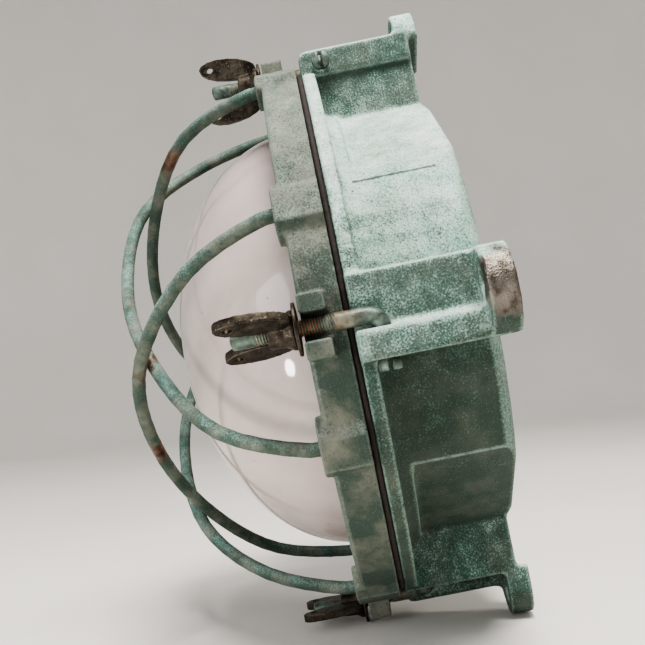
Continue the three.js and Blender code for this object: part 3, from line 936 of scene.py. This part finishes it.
@dataclass
class Housing:
    """The cast drum with its flange, legs and feet, the flange gasket and the cable gland."""

    nodes: dict[str, bpy.types.Object]
    finishes: Finishes
    casting: Softening = Softening(grid_mm=1.5, rounds=1, ripple_mm=0.16, ripple_size_mm=7.0)
    gasket: Softening = Softening(
        grid_mm=0.7, rounds=1, swell_mm=0.25, ripple_mm=0.5, ripple_size_mm=3.0
    )
    least_turn: float = 16.0  # degrees
    edge_reach: float = 1.8 * MM
    gland_edge_mm: float = 0.5

    def build(self) -> None:
        """Builds and dresses the housing's pieces."""
        body = merged_copy(self.nodes["housing"], "drum_casting")
        self.casting.apply(body)
        sharp = convex_edges(self.nodes["housing"], self.least_turn, self.edge_reach)
        mark_edges(body, sharp, self.edge_reach)
        dress(body, self.finishes.casting, Slot.CASTING, Body.HOUSING.value, "housing")
        seal = merged_copy(self.nodes["cover_gasket"], "flange_gasket")
        self.gasket.apply(seal)
        dress(seal, self.finishes.gasket, Slot.GASKET, Body.HOUSING.value, "cover_gasket")
        for name in ("cable_gland_body", "cable_gland_nut"):
            dress_node(self.nodes[name], self.finishes.brass, self.gland_edge_mm)
        dress_node(self.nodes["gland_blanking_disc"], self.finishes.gasket, self.gland_edge_mm)


@dataclass
class Cover:
    """The front ring with the globe, its gasket and its retaining ring."""

    nodes: dict[str, bpy.types.Object]
    finishes: Finishes
    casting: Softening = Softening(grid_mm=1.0, rounds=1, ripple_mm=0.25, ripple_size_mm=6.0)
    radius: float = 119.5 * MM
    rise: float = 84 * MM
    wall: float = 4 * MM
    rim_rounding: float = 1.2 * MM
    sides: int = 128
    arc_steps: int = 40
    screws: int = 4
    least_turn: float = 16.0  # degrees
    edge_reach: float = 1.4 * MM
    edge_mm: float = 0.4

    def build(self) -> None:
        """Builds and dresses the cover's pieces."""
        ring = merged_copy(self.nodes["front_ring"], "ring_casting")
        self.casting.apply(ring)
        sharp = convex_edges(self.nodes["front_ring"], self.least_turn, self.edge_reach)
        mark_edges(ring, sharp, self.edge_reach)
        dress(ring, self.finishes.ring, Slot.CASTING, Body.COVER.value, "front_ring")
        globe = self._globe()
        dress(globe, self.finishes.opal, Slot.OPAL, Body.COVER.value, "glass_globe")
        dress_node(self.nodes["globe_gasket"], self.finishes.gasket, self.edge_mm)
        dress_node(self.nodes["globe_retaining_ring"], self.finishes.brass, self.edge_mm)
        for index in range(self.screws):
            screw = self.nodes[f"retaining_screw_{index + 1}"]
            dress_node(screw, self.finishes.brass, self.edge_mm / 2)

    def _globe(self) -> bpy.types.Object:
        """Spins the globe's wall and rim about the light's axis.

        Returns:
            The globe.
        """
        low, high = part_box("glass_globe")
        rim = high.x
        back = high.y
        front = low.y + self.rise  # where the dome starts from the rim
        profile = self._arc(self.radius, self.rise, front)
        profile += [(rim, front), (rim, back), (self.radius - self.wall, back)]
        profile += self._arc(self.radius - self.wall, self.rise - self.wall, front)[::-1]
        shape = bmesh.new()
        verts = [shape.verts.new((r, y, 0.0)) for r, y in profile]
        for pair in zip(verts, verts[1:]):
            shape.edges.new(pair)
        corners = [v for v, (r, y) in zip(verts, profile) if abs(r - rim) < 0.001 * MM]
        bmesh.ops.bevel(
            shape,
            geom=corners,
            offset=self.rim_rounding,
            offset_type="OFFSET",
            segments=3,
            profile=0.5,
            affect="VERTICES",
            material=-1,
        )
        bmesh.ops.spin(
            shape,
            geom=list(shape.verts) + list(shape.edges),
            cent=(0, 0, 0),
            axis=(0, 1, 0),
            angle=2 * math.pi,
            steps=self.sides,
            use_merge=True,
        )
        bmesh.ops.remove_doubles(shape, verts=shape.verts, dist=SEAM)
        bmesh.ops.recalc_face_normals(shape, faces=shape.faces)
        return new_object("opal_globe", shape)

    def _arc(self, radius: float, rise: float, front: float) -> list[tuple[float, float]]:
        """A quarter ellipse from the apex to the rim.

        Args:
            radius: Its half width.
            rise: Its height.
            front: The Y of its foot.

        Returns:
            Radius and Y of each point, from the apex outwards.
        """
        turns = [math.pi / 2 * i / self.arc_steps for i in range(self.arc_steps + 1)]
        return [(radius * math.sin(t), front - rise * math.cos(t)) for t in turns]


@dataclass
class Cage:
    """The four crossing wires."""

    nodes: dict[str, bpy.types.Object]
    finishes: Finishes
    rod: Softening = Softening(
        grid_mm=0.75, rounds=5, swell_mm=0.12, ripple_mm=0.18, ripple_size_mm=5.0
    )

    def build(self) -> None:
        """Builds and dresses the wires."""
        for index in range(STATIONS):
            name = f"cage_wire_{index + 1}"
            rod = merged_copy(self.nodes[name], f"cage_rod_{index + 1}")
            self.rod.apply(rod)
            dress(rod, self.finishes.wire, Slot.WIRE, Body.COVER.value, name)


@dataclass
class Clamp:
    """One swing bolt with its washer and wing nut."""

    nodes: dict[str, bpy.types.Object]
    finishes: Finishes
    index: int
    radius: float = 4 * MM
    minor: float = 3.35 * MM
    pitch: float = 1.25 * MM
    bend: float = 6.2 * MM
    plain_tip: float = 11 * MM  # from the end to the first thread
    thread_length: float = 36 * MM
    spread_length: float = 5 * MM
    spread_radius: float = 5.2 * MM
    slot_width: float = 2 * MM
    slot_extra: float = 2 * MM  # how much longer the slot's cutter is than the spread end
    slot_clear: float = 1.5 * MM  # how far the cutter stands out of it
    sides: int = 24
    rings_per_turn: int = 7
    thread_slope: float = 1.25  # above 1 the thread's roots are flat
    dome: float = 1.6 * MM
    dome_steps: int = 5
    bend_steps: int = 10
    flare: float = 0.8 * MM
    end_bevel: float = 0.6 * MM
    end_scale: float = 0.9
    rubbed_below: float = 4 * MM  # the brightest place, below the washer
    rubbed_reach: float = 8 * MM
    rubbed_gain: float = 1.3
    rubbed_limits: tuple[float, float] = (0.18, 0.95)
    washer: Softening = Softening(grid_mm=0.33, rounds=1, ripple_mm=0.15, ripple_size_mm=3.0)
    nut: Softening = Softening(grid_mm=0.42, rounds=4, ripple_mm=0.35, ripple_size_mm=4.0)
    heights: dict[str, float] = field(default_factory=dict)

    def build(self) -> None:
        """Builds and dresses the clamp's pieces."""
        number = self.index + 1
        bolt = self._bolt(f"threaded_bolt_{number}")
        dress(bolt, self.finishes.bolt, Slot.BOLT, f"bolt_{number}", f"swing_bolt_{number}")
        washer = merged_copy(self.nodes[f"clamp_washer_{number}"], f"worn_washer_{number}")
        self.washer.apply(washer)
        dress(washer, self.finishes.dark, Slot.DARK, f"washer_{number}", f"clamp_washer_{number}")
        nut = merged_copy(self.nodes[f"wing_nut_{number}"], f"cast_wing_nut_{number}")
        self.nut.apply(nut)
        dress(nut, self.finishes.dark, Slot.DARK, f"nut_{number}", f"wing_nut_{number}")

    def _bolt(self, name: str) -> bpy.types.Object:
        """Draws the bolt from its tip down its thread, round the bend and out to the spread end.

        Args:
            name: The bolt's name.

        Returns:
            The bolt.
        """
        washer_low, washer_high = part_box("clamp_washer_1")
        bolt_low, bolt_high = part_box("swing_bolt_1")
        out = (washer_low.x + washer_high.x) / 2
        self.heights = {
            "tip": -bolt_low.y,
            "pivot": -bolt_high.y + self.spread_radius,
            "washer": -washer_high.y,
            "end": bolt_low.z,
        }
        shape = bmesh.new()
        rim = self._tip_and_thread(shape)
        rim = self._bend_and_leg(shape, rim)
        bmesh.ops.holes_fill(shape, edges=rim, sides=0)
        bmesh.ops.recalc_face_normals(shape, faces=shape.faces)
        bolt = new_object(name, shape)
        self._slot_spread_end(bolt)
        self._mark_rubbed(bolt)
        bolt.data.transform(station_matrix(self.index) @ Matrix.Translation((out, 0, 0)))
        return bolt

    def _extrude(
        self, shape: bmesh.types.BMesh, rim: list, move: Vector, scale: float = 1.0
    ) -> list:
        """Extrudes an edge ring by one step.

        Args:
            shape: The bmesh.
            rim: The ring's edges.
            move: The step.
            scale: How much the new ring grows about its own centre.

        Returns:
            The new ring's edges.
        """
        made = bmesh.ops.extrude_edge_only(shape, edges=rim)["geom"]
        verts = [g for g in made if isinstance(g, bmesh.types.BMVert)]
        bmesh.ops.translate(shape, verts=verts, vec=move)
        if scale != 1.0:
            centre = sum((v.co for v in verts), Vector()) / len(verts)
            for vert in verts:
                vert.co = centre + (vert.co - centre) * scale
        return [g for g in made if isinstance(g, bmesh.types.BMEdge) and self._ring(g, verts)]

    @staticmethod
    def _ring(edge: bmesh.types.BMEdge, verts: list) -> bool:
        """Whether both ends of an edge are in a ring of new vertices."""
        return edge.verts[0] in verts and edge.verts[1] in verts

    def _tip_and_thread(self, shape: bmesh.types.BMesh) -> list:
        """Makes the domed tip, the plain end, the thread and the shank down to the bend.

        Args:
            shape: The bmesh.

        Returns:
            The edges of the ring above the bend.
        """
        dome = self.dome
        steps = self.dome_steps
        shares = [math.sin(math.pi / 2 * (i + 0.4) / (steps + 0.4)) for i in range(steps + 1)]
        tip = self.heights["tip"]
        first = bmesh.ops.create_circle(
            shape,
            cap_ends=True,
            radius=self.radius * shares[0],
            segments=self.sides,
            matrix=Matrix.Translation((0, 0, tip)),
        )["verts"]
        rim = [e for e in shape.edges if self._ring(e, first)]
        for i in range(1, steps + 1):
            here = dome * (1 - math.sqrt(max(0.0, 1 - shares[i] ** 2)))
            before = dome * (1 - math.sqrt(max(0.0, 1 - shares[i - 1] ** 2)))
            rim = self._extrude(
                shape, rim, Vector((0, 0, before - here)), shares[i] / shares[i - 1]
            )
        plain = self.plain_tip - dome
        rim = self._extrude(shape, rim, Vector((0, 0, -plain)))
        turns = self.thread_length / self.pitch
        rings = round(turns * self.rings_per_turn)
        step = Vector((0, 0, -self.thread_length / rings))
        for _ in range(rings):
            rim = self._extrude(shape, rim, step)
        top = tip - self.plain_tip
        for vert in shape.verts:
            depth = self._thread_depth(vert.co, top)
            if depth:
                share = 1 - depth * (1 - self.minor / self.radius)
                vert.co.x *= share
                vert.co.y *= share
        bend_start = self.heights["pivot"] + self.bend
        rest = top - self.thread_length - bend_start
        return self._extrude(shape, rim, Vector((0, 0, -rest)))

    def _thread_depth(self, point: Vector, top: float) -> float:
        """How deep the thread is cut at a point of the shank, from 0 on a crest to 1.

        Args:
            point: The point, in the station's frame.
            top: The height of the first thread.

        Returns:
            The depth.
        """
        down = top - point.z
        if down <= 0.0 or down >= self.thread_length:
            return 0.0
        around = math.atan2(point.y, point.x) / (2 * math.pi)
        wave = abs(2 * ((point.z / self.pitch - around) % 1.0) - 1)
        fade = min(1.0, down / self.pitch, (self.thread_length - down) / self.pitch)
        return fade * min(1.0, self.thread_slope * wave)

    def _bend_and_leg(self, shape: bmesh.types.BMesh, rim: list) -> list:
        """Makes the bend, the leg through the rib and its spread end.

        Args:
            shape: The bmesh.
            rim: The edges of the ring above the bend.

        Returns:
            The edges of the last ring.
        """
        turned = bmesh.ops.spin(
            shape,
            geom=rim,
            cent=(0, -self.bend, self.heights["pivot"] + self.bend),
            axis=(-1, 0, 0),
            angle=math.pi / 2,
            steps=self.bend_steps,
            use_merge=False,
            use_duplicate=False,
        )["geom_last"]
        rim = [g for g in turned if isinstance(g, bmesh.types.BMEdge)]
        spread_start = self.heights["end"] + self.spread_length
        rim = self._extrude(shape, rim, Vector((0, spread_start + self.bend, 0)))
        grow = self.spread_radius / self.radius
        straight = self.spread_length - self.flare - self.end_bevel
        rim = self._extrude(shape, rim, Vector((0, -self.flare, 0)), grow)
        rim = self._extrude(shape, rim, Vector((0, -straight, 0)))
        return self._extrude(shape, rim, Vector((0, -self.end_bevel, 0)), self.end_scale)

    def _slot_spread_end(self, bolt: bpy.types.Object) -> None:
        """Cuts the slot whose sides were spread to hold the bolt in the rib.

        Args:
            bolt: The bolt, in the station's frame.
        """
        shape = bmesh.new()
        bmesh.ops.create_cube(shape, size=1.0)
        length = self.spread_length + self.slot_extra
        size = Vector((4 * self.spread_radius, length, self.slot_width))
        bmesh.ops.scale(shape, vec=size, verts=shape.verts)
        along = self.heights["end"] + length / 2 - self.slot_clear
        middle = (0, along, self.heights["pivot"])
        bmesh.ops.translate(shape, vec=middle, verts=shape.verts)
        cutter = new_object("slot_cutter", shape, smooth=False)
        slot = bolt.modifiers.new("slot", "BOOLEAN")
        slot.operation = "DIFFERENCE"
        slot.object = cutter
        slot.solver = "EXACT"
        apply_modifiers(bolt)
        bpy.data.objects.remove(cutter)

    def _mark_rubbed(self, bolt: bpy.types.Object) -> None:
        """Writes the "rubbed" attribute: thread crests, brightest just behind the washer.

        Args:
            bolt: The bolt, in the station's frame.
        """
        values = []
        least, most = self.rubbed_limits
        top = self.heights["tip"] - self.plain_tip
        brightest = self.heights["washer"] - self.rubbed_below
        for vert in bolt.data.vertices:
            down = top - vert.co.z
            if 0 < down < self.thread_length:
                reach = math.hypot(vert.co.x, vert.co.y)
                crest = max(0.0, (reach - self.minor) / (self.radius - self.minor))
                near = 1 - abs(brightest - vert.co.z) / self.rubbed_reach
                values.append(crest**2 * min(most, max(least, self.rubbed_gain * near)))
            else:
                values.append(0.0)
        attribute = bolt.data.attributes.new("rubbed", "FLOAT", "POINT")
        attribute.data.foreach_set("value", values)


@dataclass
class Lamp:
    """The lampholder, bulb and terminals inside the drum."""

    nodes: dict[str, bpy.types.Object]
    finishes: Finishes
    edge_mm: float = 0.3

    def build(self) -> None:
        """Dresses the lamp's frame solids."""
        looks = {
            "lampholder_bracket": self.finishes.steel,
            "bracket_screw_1": self.finishes.steel,
            "bracket_screw_2": self.finishes.steel,
            "lampholder": self.finishes.porcelain,
            "lampholder_sleeve": self.finishes.brass,
            "bulb_cap": self.finishes.steel,
            "bulb_glass": self.finishes.clear,
            "terminal_block": self.finishes.porcelain,
            "earth_screw": self.finishes.brass,
        }
        for name, finish in looks.items():
            dress_node(self.nodes[name], finish, self.edge_mm)


@dataclass(frozen=True)
class SoftLight:
    """A round area light: its place, diameter, power and hex colour."""

    name: str
    place: tuple[float, float, float]
    size: float
    watts: float
    code: str


@dataclass
class Studio:
    """A pale floor that curves up all round, soft lights and the camera."""

    finishes: Finishes
    camera_place: tuple[float, float, float] = (0.5883, -0.0730, -0.0205)
    camera_turn: tuple[float, float, float] = (92.87, 11.33, 91.86)
    lens_mm: float = 55.85
    sensor_mm: float = 36.0
    floor_reach: float = 1.7
    wall_height: float = 2.0
    wall_bend: float = 0.9
    bend_steps: int = 12
    sides: int = 96
    foot_thickness: float = 13 * MM
    aim: tuple[float, float, float] = (0.0, -0.08, 0.0)
    lights: tuple[SoftLight, ...] = (
        SoftLight("key", (0.42, 0.18, 1.2), 0.6, 34.0, "#fff8f0"),
        SoftLight("fill", (1.0, -1.0, 0.45), 0.8, 7.0, "#f2f5ff"),
        SoftLight("back", (-0.6, 0.9, 0.8), 0.6, 6.0, "#fff6ec"),
        SoftLight("round_lamp", (0.263, -0.230, -0.059), 0.037, 0.22, "#fffaf2"),
    )
    air: str = "#dfe3e8"
    air_strength: float = 0.4

    def build(self) -> None:
        """Builds the floor, lights and camera."""
        self._floor()
        self._lights()
        self._camera()

    def _floor(self) -> None:
        """Lays the floor through the lowest foot and the lowest washer."""
        foot_low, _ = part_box("housing")
        washer_low, washer_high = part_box("clamp_washer_4")
        foot = Vector((0, -self.foot_thickness, foot_low.z))
        washer = Vector((0, washer_high.y, washer_low.z))
        slope = math.atan2(washer.z - foot.z, foot.y - washer.y)
        profile = [(0.0, 0.0), (self.floor_reach, 0.0)]
        for i in range(1, self.bend_steps + 1):
            turn = math.pi / 2 * i / self.bend_steps
            profile.append(
                (
                    self.floor_reach + self.wall_bend * math.sin(turn),
                    self.wall_bend * (1 - math.cos(turn)),
                )
            )
        profile.append((self.floor_reach + self.wall_bend, self.wall_height))
        shape = bmesh.new()
        verts = [shape.verts.new((r, 0.0, z)) for r, z in profile]
        edges = [shape.edges.new(pair) for pair in zip(verts, verts[1:])]
        bmesh.ops.spin(
            shape,
            geom=verts + edges,
            cent=(0, 0, 0),
            axis=(0, 0, 1),
            angle=2 * math.pi,
            steps=self.sides,
            use_merge=True,
        )
        bmesh.ops.remove_doubles(shape, verts=shape.verts, dist=SEAM)
        bmesh.ops.recalc_face_normals(shape, faces=shape.faces)
        floor = new_object("studio_floor", shape)
        tilt = Matrix.Rotation(-slope, 4, "X")
        floor.data.transform(Matrix.Translation(foot) @ tilt)
        floor.data.materials.append(self.finishes.floor)

    def _lights(self) -> None:
        """Hangs a key overhead, a fill, a back light and a small round lamp by the globe."""
        for light in self.lights:
            self._area(light)
        world = bpy.data.worlds.new("studio")
        world.use_nodes = True
        background = world.node_tree.nodes["Background"]
        background.inputs["Color"].default_value = linear(self.air)
        background.inputs["Strength"].default_value = self.air_strength
        bpy.context.scene.world = world

    def _area(self, light: SoftLight) -> None:
        """Adds a light that points at the object and that the camera doesn't see.

        Args:
            light: The light.
        """
        data = bpy.data.lights.new(light.name, "AREA")
        data.shape = "DISK"
        data.size = light.size
        data.energy = light.watts
        data.color = linear(light.code)[:3]
        lamp = bpy.data.objects.new(light.name, data)
        lamp.location = light.place
        lamp.visible_camera = False
        away = Vector(self.aim) - Vector(light.place)
        lamp.rotation_euler = away.to_track_quat("-Z", "Y").to_euler()
        bpy.context.scene.collection.objects.link(lamp)

    def _camera(self) -> None:
        """Places the camera close by, looking across the light."""
        data = bpy.data.cameras.new("camera")
        data.lens = self.lens_mm
        data.sensor_width = self.sensor_mm
        data.clip_start = 0.01
        camera = bpy.data.objects.new("camera", data)
        camera.location = self.camera_place
        camera.rotation_euler = Euler([math.radians(a) for a in self.camera_turn])
        bpy.context.scene.collection.objects.link(camera)
        bpy.context.scene.camera = camera


def main() -> None:
    """Builds the light round its frame, sub-assembly by sub-assembly."""
    logging.basicConfig(level=logging.INFO, format="%(name)s: %(message)s")
    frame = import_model()
    finishes = Finishes()
    nodes = frame["nodes"]
    Studio(finishes).build()
    Housing(nodes, finishes).build()
    Cover(nodes, finishes).build()
    Cage(nodes, finishes).build()
    for index in range(STATIONS):
        Clamp(nodes, finishes, index).build()
    Lamp(nodes, finishes).build()
    bpy.context.scene.view_settings.look = "AgX - Medium High Contrast"


if __name__ == "__main__":
    main()
